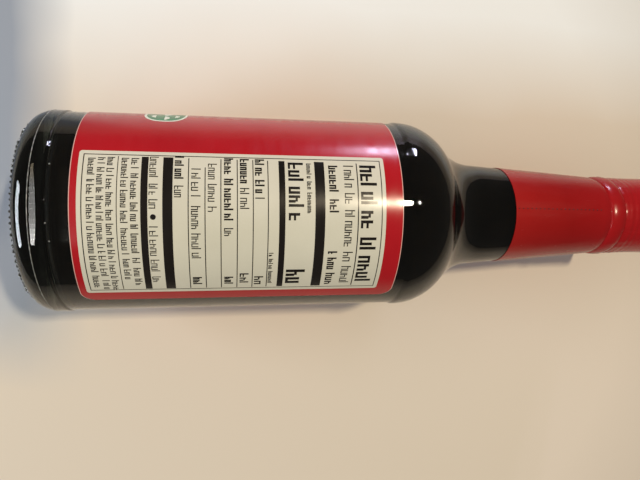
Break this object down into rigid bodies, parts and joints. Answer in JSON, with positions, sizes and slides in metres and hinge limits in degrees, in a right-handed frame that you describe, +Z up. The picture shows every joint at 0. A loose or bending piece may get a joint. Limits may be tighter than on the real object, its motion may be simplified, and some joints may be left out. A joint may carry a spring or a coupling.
{
  "type": "soy sauce bottle",
  "caption": "Full clear-glass soy sauce bottle lying on its side, with a wrap label, a cap and a red shrink sleeve over neck and cap.",
  "frame": {"origin": "centre of the bounding box at its bottom, on the surface that the bottle lies on", "axes": "+X along the bottle's axis from its base towards its cap, +Z up, the label's information panel faces up and slightly towards -Y"},
  "size_m": [0.2098, 0.0616, 0.0615],
  "materials": {
    "clear_glass": "clear flint glass, glossy, with mould seams and a knurled bearing ring",
    "soy_sauce": "very dark brown liquid, near black where it is deep",
    "label_film": "glossy printed film label, red with a cream panel",
    "cap_plastic": "moulded red plastic",
    "sleeve_film": "glossy red shrink film, slightly wrinkled over the bead and the cap"
  },
  "bodies": {
    "root": {"glass_bottle": "clear_glass", "soy_sauce": "soy_sauce", "label": "label_film", "cap": "cap_plastic", "neck_sleeve": "sleeve_film"}
  },
  "joints": []
}
